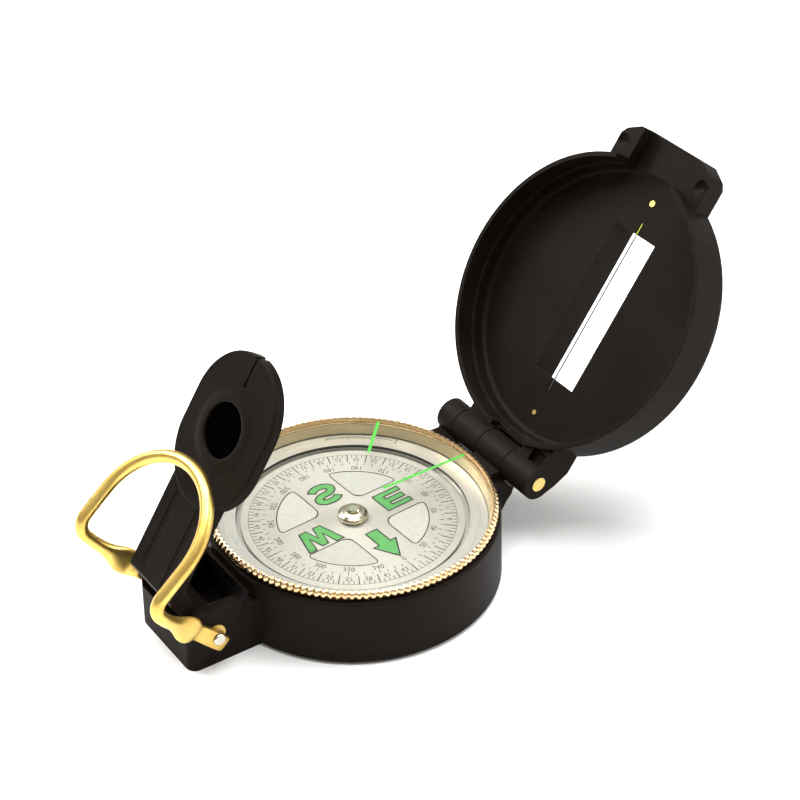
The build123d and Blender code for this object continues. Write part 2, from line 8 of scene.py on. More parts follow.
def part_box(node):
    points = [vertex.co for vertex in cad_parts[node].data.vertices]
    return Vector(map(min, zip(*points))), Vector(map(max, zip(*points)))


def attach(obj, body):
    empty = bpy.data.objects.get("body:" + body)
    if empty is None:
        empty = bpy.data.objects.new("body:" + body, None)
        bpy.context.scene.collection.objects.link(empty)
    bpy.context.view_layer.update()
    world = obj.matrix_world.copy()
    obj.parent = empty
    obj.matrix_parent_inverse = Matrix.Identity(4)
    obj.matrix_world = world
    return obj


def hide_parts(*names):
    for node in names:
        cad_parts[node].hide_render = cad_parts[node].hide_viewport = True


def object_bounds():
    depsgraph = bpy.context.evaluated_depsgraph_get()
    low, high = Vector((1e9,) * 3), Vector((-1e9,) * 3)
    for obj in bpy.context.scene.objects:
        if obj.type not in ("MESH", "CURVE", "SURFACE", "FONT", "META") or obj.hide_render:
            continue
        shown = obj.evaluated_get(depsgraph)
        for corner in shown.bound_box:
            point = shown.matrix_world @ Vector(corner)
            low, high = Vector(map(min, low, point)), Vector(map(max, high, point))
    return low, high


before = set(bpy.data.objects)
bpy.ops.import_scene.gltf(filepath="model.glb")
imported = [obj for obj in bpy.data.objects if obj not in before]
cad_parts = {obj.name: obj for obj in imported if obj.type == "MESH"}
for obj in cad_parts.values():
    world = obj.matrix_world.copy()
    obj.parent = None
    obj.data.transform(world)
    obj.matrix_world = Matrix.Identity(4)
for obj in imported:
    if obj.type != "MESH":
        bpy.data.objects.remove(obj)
cad_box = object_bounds()

MM = 0.001
# The card's print runs the mirrored way round, as seen: +1 counts bearings anticlockwise from above.
CARD_SENSE = 1
# Where the card has come to rest.
CARD_HEADING = math.radians(3.5)


def millimetres(node):
    low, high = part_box(node)
    return [v / MM for v in low], [v / MM for v in high]


# ------------------------------------------------------------------ node helpers
class Look:
    """A material's node tree, with short calls for the nodes that the finishes share."""

    def __init__(self, name):
        self.material = bpy.data.materials.new(name)
        self.material.use_nodes = True
        self.tree = self.material.node_tree
        self.tree.nodes.clear()
        self.output = self.node("ShaderNodeOutputMaterial")
        self.surface = self.node("ShaderNodeBsdfPrincipled")
        self.join(self.surface.outputs[0], self.output.inputs["Surface"])
        self.place = self.node("ShaderNodeTexCoord").outputs["Object"]

    def node(self, kind, **settings):
        made = self.tree.nodes.new(kind)
        for key, value in settings.items():
            setattr(made, key, value)
        return made

    def join(self, source, target):
        self.tree.links.new(source, target)

    def set(self, **values):
        for key, value in values.items():
            self.surface.inputs[key.replace("_", " ")].default_value = value
        return self

    def feed(self, target, value):
        if isinstance(value, bpy.types.NodeSocket):
            self.join(value, target)
        else:
            target.default_value = value

    def stretched(self, x, y, z):
        mapping = self.node("ShaderNodeMapping")
        self.join(self.place, mapping.inputs["Vector"])
        mapping.inputs["Scale"].default_value = (x, y, z)
        return mapping.outputs[0]

    def noise(self, scale, detail=3.0, rough=0.55, where=None):
        made = self.node("ShaderNodeTexNoise")
        self.join(where or self.place, made.inputs["Vector"])
        made.inputs["Scale"].default_value = scale
        made.inputs["Detail"].default_value = detail
        made.inputs["Roughness"].default_value = rough
        return made.outputs["Fac"]

    def math(self, operation, a, b=0.0):
        made = self.node("ShaderNodeMath", operation=operation)
        self.feed(made.inputs[0], a)
        self.feed(made.inputs[1], b)
        return made.outputs[0]

    def ramp(self, value, low, high, to_low=0.0, to_high=1.0):
        made = self.node("ShaderNodeMapRange")
        self.join(value, made.inputs["Value"])
        made.inputs["From Min"].default_value = low
        made.inputs["From Max"].default_value = high
        made.inputs["To Min"].default_value = to_low
        made.inputs["To Max"].default_value = to_high
        return made.outputs["Result"]

    def blend(self, share, a, b):
        made = self.node("ShaderNodeMix", data_type="RGBA")
        self.feed(made.inputs["Factor"], share)
        for socket, value in ((made.inputs[6], a), (made.inputs[7], b)):
            if isinstance(value, bpy.types.NodeSocket):
                self.join(value, socket)
            else:
                socket.default_value = (*value, 1.0)
        return made.outputs[2]

    def polar(self):
        """The angle about Z in radians and the distance from Z in metres."""
        split = self.node("ShaderNodeSeparateXYZ")
        self.join(self.place, split.inputs[0])
        x, y = split.outputs[0], split.outputs[1]
        angle = self.math("ARCTAN2", y, x)
        squares = self.math("ADD", self.math("MULTIPLY", x, x), self.math("MULTIPLY", y, y))
        return angle, self.math("SQRT", squares)

    def colour(self, value):
        self.join(value, self.surface.inputs["Base Color"])

    def roughness(self, value):
        self.join(value, self.surface.inputs["Roughness"])

    def edges(self, radius):
        """High where a rounded edge would turn the surface, for wear."""
        bevel = self.node("ShaderNodeBevel", samples=4)
        bevel.inputs["Radius"].default_value = radius
        geometry = self.node("ShaderNodeNewGeometry")
        dot = self.node("ShaderNodeVectorMath", operation="DOT_PRODUCT")
        self.join(bevel.outputs[0], dot.inputs[0])
        self.join(geometry.outputs["Normal"], dot.inputs[1])
        return self.ramp(dot.outputs["Value"], 0.995, 0.86)

    def bump(self, height, distance, strength=1.0, soften=0.0):
        made = self.node("ShaderNodeBump")
        made.inputs["Strength"].default_value = strength
        made.inputs["Distance"].default_value = distance
        self.join(height, made.inputs["Height"])
        if soften:
            bevel = self.node("ShaderNodeBevel", samples=4)
            bevel.inputs["Radius"].default_value = soften
            self.join(bevel.outputs[0], made.inputs["Normal"])
        self.join(made.outputs[0], self.surface.inputs["Normal"])


def black_plastic(name, soften=0.25 * MM):
    look = Look(name)
    look.set(Metallic=0.0, IOR=1.46, Specular_IOR_Level=0.055, Specular_Tint=(1.0, 0.86, 0.76, 1.0))
    cloud = look.noise(55.0, 4.0)
    grain = look.noise(3600.0, 2.0, 0.6)
    rubbed = look.noise(420.0, 5.0, 0.65)
    base = look.blend(look.ramp(cloud, 0.35, 0.65), (0.0064, 0.0048, 0.0038), (0.0096, 0.0074, 0.0059))
    wear = look.math("MULTIPLY", look.edges(0.35 * MM), look.ramp(rubbed, 0.42, 0.62))
    look.colour(look.blend(look.math("MULTIPLY", wear, 0.55), base, (0.034, 0.029, 0.024)))
    dull = look.ramp(cloud, 0.3, 0.7, 0.40, 0.52)
    dull = look.math("ADD", dull, look.ramp(grain, 0.3, 0.7, -0.03, 0.03))
    look.roughness(look.math("SUBTRACT", dull, look.math("MULTIPLY", wear, 0.14)))
    look.bump(grain, 0.018 * MM, 0.8, soften)
    return look.material


def bright_brass(name, light, deep, dull):
    """Drawn or turned brass with patches of tarnish and fine pits."""
    look = Look(name)
    look.set(Metallic=1.0)
    tarnish = look.noise(170.0, 5.0, 0.6)
    drawn = look.noise(2.2, 3.0, 0.6, look.stretched(900, 900, 160))
    pits = look.noise(1500.0, 3.0, 0.7)
    look.colour(look.blend(look.ramp(tarnish, 0.38, 0.70), light, deep))
    rough = look.ramp(tarnish, 0.3, 0.7, dull - 0.03, dull + 0.09)
    look.roughness(look.math("ADD", rough, look.ramp(drawn, 0.3, 0.7, -0.04, 0.05)))
    height = look.math("ADD", look.math("MULTIPLY", drawn, 0.6), look.math("MULTIPLY", pits, 0.4))
    look.bump(height, 0.008 * MM, 0.35)
    return look.material


def turned_metal(name, light, deep, dull, metallic=1.0):
    """Satin metal with fine rings, as a lathe leaves, and faint cloudiness."""
    look = Look(name)
    look.set(Metallic=metallic)
    angle, radius = look.polar()
    join = look.node("ShaderNodeCombineXYZ")
    look.join(look.math("MULTIPLY", look.math("SINE", angle), 0.35), join.inputs[0])
    look.join(look.math("MULTIPLY", radius, 6000.0), join.inputs[1])
    look.join(look.math("MULTIPLY", look.math("COSINE", angle), 0.35), join.inputs[2])
    rings = look.noise(1.6, 3.0, 0.6, join.outputs[0])
    cloud = look.noise(90.0, 4.0)
    look.colour(look.blend(look.ramp(cloud, 0.35, 0.68), light, deep))
    ring_dull = look.ramp(rings, 0.3, 0.7, dull - 0.06, dull + 0.06)
    look.roughness(look.math("ADD", ring_dull, look.ramp(cloud, 0.3, 0.7, -0.03, 0.04)))
    look.bump(rings, 0.006 * MM, 0.5)
    return look.material


def card_silver(name):
    """Brushed silver print: streaks that run across the card and a paler painted sheen in two fans."""
    look = Look(name)
    look.set(Metallic=0.55, Specular_IOR_Level=0.5)
    angle, radius = look.polar()
    streak = look.noise(2.0, 4.0, 0.65, look.stretched(220, 1900, 60))
    # painted sheen: two paler fans of colour about the card's centre stand in for the brushed card's
    # reflection
    painted_sheen_wave = look.math("COSINE", look.math("MULTIPLY", look.math("ADD", angle, 0.55), 2.0))
    painted_sheen = look.ramp(painted_sheen_wave, -1.0, 1.0, 0.0, 0.75)
    painted_sheen_and_streak = look.math("ADD", painted_sheen, look.ramp(streak, 0.35, 0.65, 0.0, 0.25))
    look.colour(look.blend(painted_sheen_and_streak, (0.39, 0.375, 0.345), (0.54, 0.525, 0.49)))
    look.roughness(look.ramp(streak, 0.3, 0.7, 0.33, 0.46))
    look.bump(streak, 0.006 * MM, 0.35)
    return look.material


def paint(name, main, other, dull=0.5, painted_glow=0.0, metallic=0.0):
    look = Look(name)
    look.set(Metallic=metallic, Specular_IOR_Level=0.35)
    mottle = look.noise(1300.0, 3.0)
    look.colour(look.blend(look.ramp(mottle, 0.3, 0.7), main, other))
    look.roughness(look.ramp(mottle, 0.3, 0.7, dull - 0.06, dull + 0.08))
    look.bump(mottle, 0.006 * MM, 0.4)
    # painted glow: a faint emission in the paint's own colour, on a part that is no lamp
    if painted_glow:
        look.set(Emission_Color=(*main, 1.0), Emission_Strength=painted_glow)
    return look.material


def clear_pane(name, tint):
    """Thin glass: clear, with a Fresnel reflection and faint smears in its polish."""
    look = Look(name)
    look.tree.nodes.remove(look.surface)
    through = look.node("ShaderNodeBsdfTransparent")
    through.inputs["Color"].default_value = (*tint, 1.0)
    gloss = look.node("ShaderNodeBsdfGlossy")
    gloss.inputs["Color"].default_value = (1.0, 1.0, 1.0, 1.0)
    smears = look.noise(130.0, 4.0, 0.6)
    look.join(look.ramp(smears, 0.4, 0.7, 0.02, 0.07), gloss.inputs["Roughness"])
    fresnel = look.node("ShaderNodeFresnel")
    fresnel.inputs["IOR"].default_value = 1.22
    facing = look.math("SUBTRACT", 1.0, look.node("ShaderNodeNewGeometry").outputs["Backfacing"])
    mirror = look.math("MULTIPLY", fresnel.outputs[0], facing)
    mix = look.node("ShaderNodeMixShader")
    look.join(mirror, mix.inputs[0])
    look.join(through.outputs[0], mix.inputs[1])
    look.join(gloss.outputs[0], mix.inputs[2])
    look.join(mix.outputs[0], look.output.inputs["Surface"])
    return look.material


BLACK_CASE = black_plastic("moulded_black_case")
BLACK_LID = black_plastic("moulded_black_lid")
BLACK_ARM = black_plastic("moulded_black_arm")
BRASS_LOOP = bright_brass("bright_brass_wire", (0.80, 0.57, 0.16), (0.64, 0.40, 0.09), 0.31)
BRASS_TURNED = bright_brass("turned_brass_pins", (0.78, 0.60, 0.20), (0.55, 0.38, 0.10), 0.26)
GOLD_BEZEL = bright_brass("gold_knurl", (0.86, 0.64, 0.38), (0.78, 0.50, 0.25), 0.24)
GOLD_WALL = turned_metal("gold_inner_wall", (0.70, 0.60, 0.39), (0.58, 0.48, 0.29), 0.34)
SILVER = turned_metal("satin_silver_flange", (0.56, 0.56, 0.54), (0.49, 0.485, 0.465), 0.32, 0.7)
# painted shade: a near-black colour for the flange's bore, standing in for the shaded gap beside the card
PAINTED_SHADE_EDGE = turned_metal("flange_bore_painted_shade", (0.10, 0.098, 0.088), (0.06, 0.058, 0.052), 0.4)
CARD = card_silver("brushed_card")
PANEL = paint("pale_panel_print", (0.375, 0.375, 0.36), (0.335, 0.335, 0.32), 0.42)
INK = paint("dark_print", (0.010, 0.010, 0.009), (0.022, 0.021, 0.018), 0.55)
SOFT_INK = paint("grey_print", (0.035, 0.033, 0.028), (0.075, 0.070, 0.060), 0.55)
GREEN_LETTER = paint("green_luminous_letters", (0.060, 0.235, 0.062), (0.080, 0.285, 0.085), 0.5)
# The line's faint emission is a painted glow over its luminous green paint.
GREEN_LINE = paint("green_luminous_line_painted_glow", (0.045, 0.34, 0.028), (0.070, 0.40, 0.050), 0.45, 0.02)
NICKEL = turned_metal("turned_nickel", (0.66, 0.62, 0.50), (0.50, 0.46, 0.35), 0.2)
STEEL = turned_metal("plain_steel", (0.50, 0.50, 0.49), (0.38, 0.38, 0.37), 0.3)
CHROME = turned_metal("polished_pin", (0.70, 0.68, 0.62), (0.58, 0.55, 0.50), 0.16)
CAPSULE = turned_metal("silver_capsule", (0.60, 0.59, 0.55), (0.48, 0.47, 0.44), 0.34, 0.6)
GASKET = paint("brown_gasket", (0.36, 0.28, 0.15), (0.42, 0.34, 0.20), 0.6)
RUBBER = paint("black_rubber", (0.012, 0.012, 0.012), (0.02, 0.02, 0.02), 0.75)
MAGNET = paint("dark_magnet", (0.08, 0.08, 0.082), (0.12, 0.12, 0.12), 0.4, 0.0, 0.8)
JEWEL = paint("green_jewel", (0.16, 0.185, 0.13), (0.26, 0.29, 0.22), 0.12)


def luminous_tip(name):
    """Grey steel wire whose far end is painted yellow-green."""
    look = Look(name)
    look.set(Specular_IOR_Level=0.4)
    split = look.node("ShaderNodeSeparateXYZ")
    look.join(look.place, split.inputs[0])
    mottle = look.noise(1600.0, 3.0)
    steel = look.blend(mottle, (0.045, 0.045, 0.042), (0.09, 0.09, 0.085))
    painted = look.blend(mottle, (0.42, 0.62, 0.02), (0.55, 0.74, 0.05))
    share = look.ramp(split.outputs[2], 49.5 * MM, 49.9 * MM)
    look.colour(look.blend(share, steel, painted))
    look.roughness(look.ramp(mottle, 0.3, 0.7, 0.35, 0.5))
    return look.material


SIGHT = luminous_tip("sight_wire")
# A near-black lens with its specular reflection turned off, so the eyepiece hole renders black.
DARK_LENS = paint("near_black_lens", (0.0005, 0.0005, 0.0005), (0.0008, 0.0008, 0.0008), 0.3)
DARK_LENS.node_tree.nodes["Principled BSDF"].inputs["Specular IOR Level"].default_value = 0.0
CRYSTAL = clear_pane("clear_crystal", (0.985, 0.985, 0.965))

NODE_LOOKS = {
    "case_screws": STEEL,
    "bowl_gasket": RUBBER,
    "capsule_bowl": CAPSULE,
    "flange_ring": SILVER,
    "pivot_post": BRASS_TURNED,
    "pivot_tip": STEEL,
    "dial_card": CARD,
    "card_magnet": MAGNET,
    "card_hub": NICKEL,
    "jewel_cup": JEWEL,
    "bezel_crystal": CRYSTAL,
    "crystal_gasket": GASKET,
    "bezel_snap_ring": STEEL,
    "bezel_line_long": GREEN_LINE,
    "bezel_line_short": GREEN_LINE,
    "sight_wire": SIGHT,
    "wire_pins": BRASS_TURNED,
    "lid_hinge_pin": BRASS_TURNED,
    "eyepiece_lens": DARK_LENS,
    "lens_retainer": RUBBER,
    "arm_pin": CHROME,
    "arm_spring": STEEL,
    "loop_washers": BRASS_TURNED,
}


# ------------------------------------------------------------------ mesh helpers
def piece(name, points, faces, material, body, smooth=True):
    """A mesh piece from millimetre points, riding on a body."""
    mesh = bpy.data.meshes.new(name)
    mesh.from_pydata([Vector(p) * MM for p in points], [], faces)
    mesh.materials.append(material)
    mesh.update()
    made = bpy.data.objects.new(name, mesh)
    bpy.context.scene.collection.objects.link(made)
    if smooth:
        mesh.shade_smooth()
    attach(made, body)
    return made


def use_modifiers(made):
    """Turns an object's modifiers into its mesh."""
    depsgraph = bpy.context.evaluated_depsgraph_get()
    mesh = bpy.data.meshes.new_from_object(made.evaluated_get(depsgraph))
    made.modifiers.clear()
    made.data = mesh


def smooth_by_angle(mesh, degrees):
    mesh.shade_smooth()
    mesh.set_sharp_from_angle(angle=math.radians(degrees))


def rounded_copy(node, name, material, body, width):
    """The CAD node's shape with its sharp edges softened, in place of the node."""
    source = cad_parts[node]
    made = bpy.data.objects.new(name, source.data.copy())
    bpy.context.scene.collection.objects.link(made)
    grid = bmesh.new()
    grid.from_mesh(made.data)
    bmesh.ops.remove_doubles(grid, verts=grid.verts, dist=0.002 * MM)
    bmesh.ops.dissolve_limit(
        grid, angle_limit=math.radians(1.0), verts=grid.verts, edges=grid.edges, delimit={"NORMAL"}
    )
    grid.to_mesh(made.data)
    grid.free()
    if width:
        bevel = made.modifiers.new("soften", "BEVEL")
        bevel.width = width * MM
        bevel.segments = 3
        bevel.limit_method = "ANGLE"
        bevel.angle_limit = math.radians(32)
        bevel.use_clamp_overlap = True
        bevel.miter_outer = "MITER_ARC"
        use_modifiers(made)
    made.data.materials.clear()
    made.data.materials.append(material)
    smooth_by_angle(made.data, 32)
    even = made.modifiers.new("even", "WEIGHTED_NORMAL")
    even.keep_sharp = True
    even.weight = 80
    use_modifiers(made)
    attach(made, body)
    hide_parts(node)
    return made


def lathe(name, profile, material, body, steps=192, turn=None):
    """A ring or knob turned about Z from (radius, height) points. turn(k, r, z) may move a point."""
    points, faces = [], []
    count = len(profile)
    for k in range(steps):
        angle = 2 * math.pi * k / steps
        for r, z in profile:
            if turn:
                r, z = turn(k, r, z)
            points.append((r * math.cos(angle), r * math.sin(angle), z))
    for k in range(steps):
        after = (k + 1) % steps
        for i in range(count):
            j = (i + 1) % count
            faces.append((k * count + i, after * count + i, after * count + j, k * count + j))
    made = piece(name, points, faces, material, body)
    smooth_by_angle(made.data, 40)
    return made


def plate_loops(name, loops, z, material, body, thick=0.02):
    """Flat printed shapes from closed (x, y) loops, a hair thick."""
    grid = bmesh.new()
    for loop in loops:
        rim = [grid.verts.new((x * MM, y * MM, z * MM)) for x, y in loop]
        face = grid.faces.new(rim)
        face.normal_update()
        if face.normal.z < 0:
            face.normal_flip()
        raised = bmesh.ops.extrude_face_region(grid, geom=[face])
        for item in raised["geom"]:
            if isinstance(item, bmesh.types.BMVert):
                item.co.z += thick * MM
    bmesh.ops.recalc_face_normals(grid, faces=grid.faces)
    bmesh.ops.triangulate(grid, faces=grid.faces)
    mesh = bpy.data.meshes.new(name)
    grid.to_mesh(mesh)
    grid.free()
    mesh.materials.append(material)
    made = bpy.data.objects.new(name, mesh)
    bpy.context.scene.collection.objects.link(made)
    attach(made, body)
    return made


def stroke(points, width, closed=False):
    """The outline of a line of some width, with mitred corners."""
    count = len(points)
    left, right = [], []
    for i, (x, y) in enumerate(points):
        before = points[i - 1] if (closed or i) else None
        after = points[(i + 1) % count] if (closed or i < count - 1) else None
        ways = []
        if before:
            ways.append(Vector((x - before[0], y - before[1])).normalized())
        if after:
            ways.append(Vector((after[0] - x, after[1] - y)).normalized())
        way = sum(ways, Vector((0, 0))).normalized()
        normal = Vector((-way.y, way.x))
        side = Vector((-ways[0].y, ways[0].x))
        reach = width / 2 / max(0.45, normal.dot(side))
        left.append((x + normal.x * reach, y + normal.y * reach))
        right.append((x - normal.x * reach, y - normal.y * reach))
    return left, right


def rim_shapes(loop, width):
    """Quads along a closed loop, for a printed outline."""
    left, right = stroke(loop, width, True)
    count = len(loop)
    return [[left[i], left[(i + 1) % count], right[(i + 1) % count], right[i]] for i in range(count)]


def bar(r_low, r_high, angle, width):
    """A radial tick."""
    c, s = math.cos(angle), math.sin(angle)
    h = width / 2
    return [(r_low * c + h * s, r_low * s - h * c), (r_high * c + h * s, r_high * s - h * c),
            (r_high * c - h * s, r_high * s + h * c), (r_low * c - h * s, r_low * s + h * c)]


def arc_band(radius, width, start, end, steps):
    shapes = []
    for k in range(steps):
        a = start + (end - start) * k / steps
        b = start + (end - start) * (k + 1) / steps
        lo, hi = radius - width / 2, radius + width / 2
        shapes.append([(lo * math.cos(a), lo * math.sin(a)), (hi * math.cos(a), hi * math.sin(a)),
                       (hi * math.cos(b), hi * math.sin(b)), (lo * math.cos(b), lo * math.sin(b))])
    return shapes


def print_text(words, name, z, material, body):
    """Numerals as thin print. words holds (text, radius, angle, height, sense)."""
    points, faces = [], []
    for text, radius, angle, height, sense in words:
        curve = bpy.data.curves.new("numeral", "FONT")
        curve.body = text
        curve.size = height
        curve.align_x = "CENTER"
        curve.align_y = "CENTER"
        holder = bpy.data.objects.new("numeral", curve)
        bpy.context.scene.collection.objects.link(holder)
        bpy.context.view_layer.update()
        mesh = bpy.data.meshes.new_from_object(holder.evaluated_get(bpy.context.evaluated_depsgraph_get()))
        outward = (math.cos(angle), math.sin(angle))
        across = (-sense * outward[1], sense * outward[0])
        start = len(points)
        for v in mesh.vertices:
            u, w = v.co.x * 0.92, v.co.y + radius
            points.append((outward[0] * w + across[0] * u, outward[1] * w + across[1] * u, z))
        for polygon in mesh.polygons:
            corners = [start + i for i in polygon.vertices]
            faces.append(corners if sense < 0 else corners[::-1])
        bpy.data.objects.remove(holder)
        bpy.data.curves.remove(curve)
        bpy.data.meshes.remove(mesh)
    return piece(name, points, faces, material, body, False)


# ------------------------------------------------------------------ camera, floor, lights
def add_camera():
    data = bpy.data.cameras.new("camera")
    data.sensor_width = 36.0
    data.lens = 95.78
    data.clip_start = 0.01
    data.clip_end = 20.0
    made = bpy.data.objects.new("camera", data)
    right = Vector((0.5704, 0.8213, 0.0091)).normalized()
    back = Vector((0.6697, -0.4715, 0.5737)).normalized()
    up = back.cross(right).normalized()
    turn = Matrix((right, up, back)).transposed().to_4x4()
    made.matrix_world = Matrix.Translation((0.25357, -0.16836, 0.25040)) @ turn
    bpy.context.scene.collection.objects.link(made)
    bpy.context.scene.camera = made


def add_floor():
    low = cad_box[0][2]
    mesh = bpy.data.meshes.new("floor")
    reach = 6.0
    corners = [(-reach, -reach, low), (reach, -reach, low), (reach, reach, low), (-reach, reach, low)]
    mesh.from_pydata(corners, [], [(0, 1, 2, 3)])
    look = Look("pale_floor")
    look.set(Specular_IOR_Level=0.1)
    cloud = look.noise(3.0)
    look.colour(look.blend(look.ramp(cloud, 0.3, 0.7), (0.905, 0.905, 0.90), (0.93, 0.93, 0.925)))
    look.roughness(look.ramp(cloud, 0.3, 0.7, 0.8, 0.9))
    mesh.materials.append(look.material)
    made = bpy.data.objects.new("floor", mesh)
    bpy.context.scene.collection.objects.link(made)


def add_light(name, place, aim, size, power, tint=(1.0, 1.0, 1.0), height=None):
    data = bpy.data.lights.new(name, "AREA")
    data.shape = "RECTANGLE"
    data.size = size
    data.size_y = height or size
    data.energy = power
    data.color = tint
    made = bpy.data.objects.new(name, data)
    made.location = place
    made.rotation_euler = (Vector(aim) - Vector(place)).to_track_quat("-Z", "Y").to_euler()
    bpy.context.scene.collection.objects.link(made)


def add_world():
    """A pale tent that darkens towards the horizon, so that metal has something to reflect."""
    world = bpy.data.worlds.new("studio")
    world.use_nodes = True
    tree = world.node_tree
    back = tree.nodes["Background"]
    place = tree.nodes.new("ShaderNodeTexCoord")
    split = tree.nodes.new("ShaderNodeSeparateXYZ")
    tree.links.new(place.outputs["Generated"], split.inputs[0])
    share = tree.nodes.new("ShaderNodeMapRange")
    share.inputs["From Min"].default_value = 0.02
    share.inputs["From Max"].default_value = 0.55
    tree.links.new(split.outputs[2], share.inputs["Value"])
    mix = tree.nodes.new("ShaderNodeMix")
    mix.data_type = "RGBA"
    tree.links.new(share.outputs["Result"], mix.inputs["Factor"])
    mix.inputs[6].default_value = (0.27, 0.262, 0.25, 1.0)
    mix.inputs[7].default_value = (1.0, 0.995, 0.985, 1.0)
    tree.links.new(mix.outputs[2], back.inputs["Color"])
    back.inputs["Strength"].default_value = 0.62
    bpy.context.scene.world = world


add_camera()
add_floor()
add_world()
add_light("overhead", (-0.05, 0.05, 0.62), (0, 0.01, 0), 0.55, 6.2)
add_light("key", (-0.42, -0.18, 0.42), (0, 0, 0.02), 0.30, 3.6, (1.0, 0.99, 0.97))
add_light("rim", (0.30, 0.45, 0.28), (0, 0.03, 0.03), 0.22, 1.5, (1.0, 0.98, 0.95))
bpy.context.scene.view_settings.view_transform = "Standard"


# ------------------------------------------------------------------ carried-over CAD nodes
for node, material in NODE_LOOKS.items():
    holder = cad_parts[node]
    holder.data.materials.clear()
    holder.data.materials.append(material)


# ------------------------------------------------------------------ moulded shells
rounded_copy("case_shell", "moulded_case", BLACK_CASE, "case", 0.28)
rounded_copy("lid_shell", "moulded_lid", BLACK_LID, "lid", 0.28)
rounded_copy("eyepiece_arm", "moulded_arm", BLACK_ARM, "eyepiece", 0.25)


# ------------------------------------------------------------------ bezel
def add_bezel():
    """A brass ring with a row of rounded teeth, and the plain cone inside it."""
    low, high = millimetres("bezel_ring")
    outer = high[0]
    top = high[2]
    skirt_low = low[2]
    teeth = 132
    per_tooth = 6
    root = 0.36
    shelf = 13.6

    def tooth(k, r, z):
        if r < outer - 0.75:
            return r, z
        wave = 0.5 - 0.5 * math.cos(2 * math.pi * (k % per_tooth) / per_tooth)
        depth = root * (1 - wave ** 0.6)
        return r - depth, z

    profile = [
        (24.95, 14.05), (25.42, 14.05), (25.42, top - 0.15), (25.5, top - 0.02), (25.75, top),
        (25.98, top - 0.08), (26.2, top - 0.24), (outer - 0.06, top - 0.5), (outer, top - 0.8),
        (outer - 0.06, top - 1.15), (26.15, shelf + 0.12), (25.9, shelf), (25.6, shelf),
        (25.6, skirt_low + 1.0), (25.15, skirt_low + 1.0), (25.15, skirt_low + 0.3),
        (25.6, skirt_low + 0.3), (25.6, skirt_low), (24.6, skirt_low),
    ]
    ring = lathe("knurled_bezel", profile, GOLD_BEZEL, "bezel", teeth * per_tooth, tooth)
    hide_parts("bezel_ring")
    ring.data.materials.append(GOLD_WALL)
    for polygon in ring.data.polygons:
        centre = polygon.center
        inside = math.hypot(centre.x, centre.y) < 25.3 * MM
        below_crystal = centre.z < 14.5 * MM
        if inside and below_crystal and abs(polygon.normal.z) < 0.8:
            polygon.material_index = 1


add_bezel()


# ------------------------------------------------------------------ dial print
CARD_TOP = millimetres("dial_card")[1][2]
FLANGE_TOP = millimetres("flange_ring")[1][2]
GLYPH_Z = CARD_TOP + 0.005


def bearing(degrees):
    return CARD_SENSE * math.radians(degrees) + CARD_HEADING


def add_card_scale():
    ticks = []
    for k in range(128):
        ticks.append(bar(18.05, 18.95, bearing(k * 360 / 128), 0.13))
    for k in range(32):
        ticks.append(bar(16.75, 18.95, bearing(k * 360 / 32), 0.19))
    ticks += arc_band(19.0, 0.07, 0, 2 * math.pi, 180)
    for k in range(72):
        ticks.append(bar(15.75 if k % 2 == 0 else 16.05, 16.55, bearing(k * 5), 0.13))
    plate_loops("card_ticks", ticks, GLYPH_Z, SOFT_INK, "card", 0.01)
    words = []
    for k in range(32):
        words.append((str(2 * k + 1), 17.45, bearing((k + 0.5) * 360 / 32), 1.45, CARD_SENSE))
    for k in range(18):
        words.append((str(20 * k), 14.85, bearing(20 * k), 1.6, CARD_SENSE))
    print_text(words, "card_numbers", GLYPH_Z + 0.01, SOFT_INK, "card")


PANEL_EDGE = 4.0
PANEL_RADIUS = 13.85


def panel_loop(quarter, inset):
    """The rounded panel between two arms of the card's cross."""
    edge = PANEL_EDGE + inset
    radius = PANEL_RADIUS - inset
    reach = math.sqrt(radius ** 2 - edge ** 2)
    start = math.atan2(edge, reach)
    curve = []
    for k in range(1, 24):
        angle = start + (math.pi / 2 - 2 * start) * k / 24
        curve.append((radius * math.cos(angle), radius * math.sin(angle)))

    def corner(before, here, after, size):
        here = Vector(here)
        a = (Vector(before) - here).normalized() * size
        b = (Vector(after) - here).normalized() * size
        return [tuple(here + a * (1 - t) ** 2 + b * t ** 2) for t in (0, 0.2, 0.4, 0.6, 0.8, 1)]

    near, left, right = (edge, edge), (reach, edge), (edge, reach)
    loop = corner(right, near, left, 2.3 - inset)
    loop += corner(near, left, curve[3], 1.3)
    loop += curve[3:-3]
    loop += corner(curve[-4], right, near, 1.3)
    turn = quarter * math.pi / 2 + CARD_HEADING
    c, s = math.cos(turn), math.sin(turn)
    return [(x * c - y * s, x * s + y * c) for x, y in loop]


def add_card_panels():
    floor = CARD_TOP - 0.1
    panels = [panel_loop(q, 0.06) for q in range(4)]
    plate_loops("card_panels", panels, floor, PANEL, "card", 0.085)
    outlines = []
    for q in range(4):
        outlines += rim_shapes(panel_loop(q, 0.0), 0.2)
    plate_loops("card_panel_outlines", outlines, GLYPH_Z, INK, "card", 0.01)


def letter(shape, centre_x, centre_y, width, height):
    """Maps a unit glyph to the card. Every letter's top faces north, and its right faces east."""
    return [(centre_x + v * height, centre_y + CARD_SENSE * u * width) for u, v in shape]


def on_card(loop):
    c, s = math.cos(CARD_HEADING), math.sin(CARD_HEADING)
    return [(x * c - y * s, x * s + y * c) for x, y in loop]


def s_outline():
    """A bold S about the origin, one unit wide and one high."""
    spine = []
    for k in range(13):
        a = math.radians(20 + 250 * k / 12)
        spine.append((0.30 * math.cos(a), 0.21 + 0.185 * math.sin(a)))
    for k in range(13):
        a = math.radians(90 - 250 * k / 12)
        spine.append((0.30 * math.cos(a), -0.175 + 0.21 * math.sin(a)))
    cleaned = [spine[0]]
    for p in spine[1:]:
        if (Vector(p) - Vector(cleaned[-1])).length > 0.03:
            cleaned.append(p)
    left, right = stroke(cleaned, 0.235)
    return left + right[::-1]


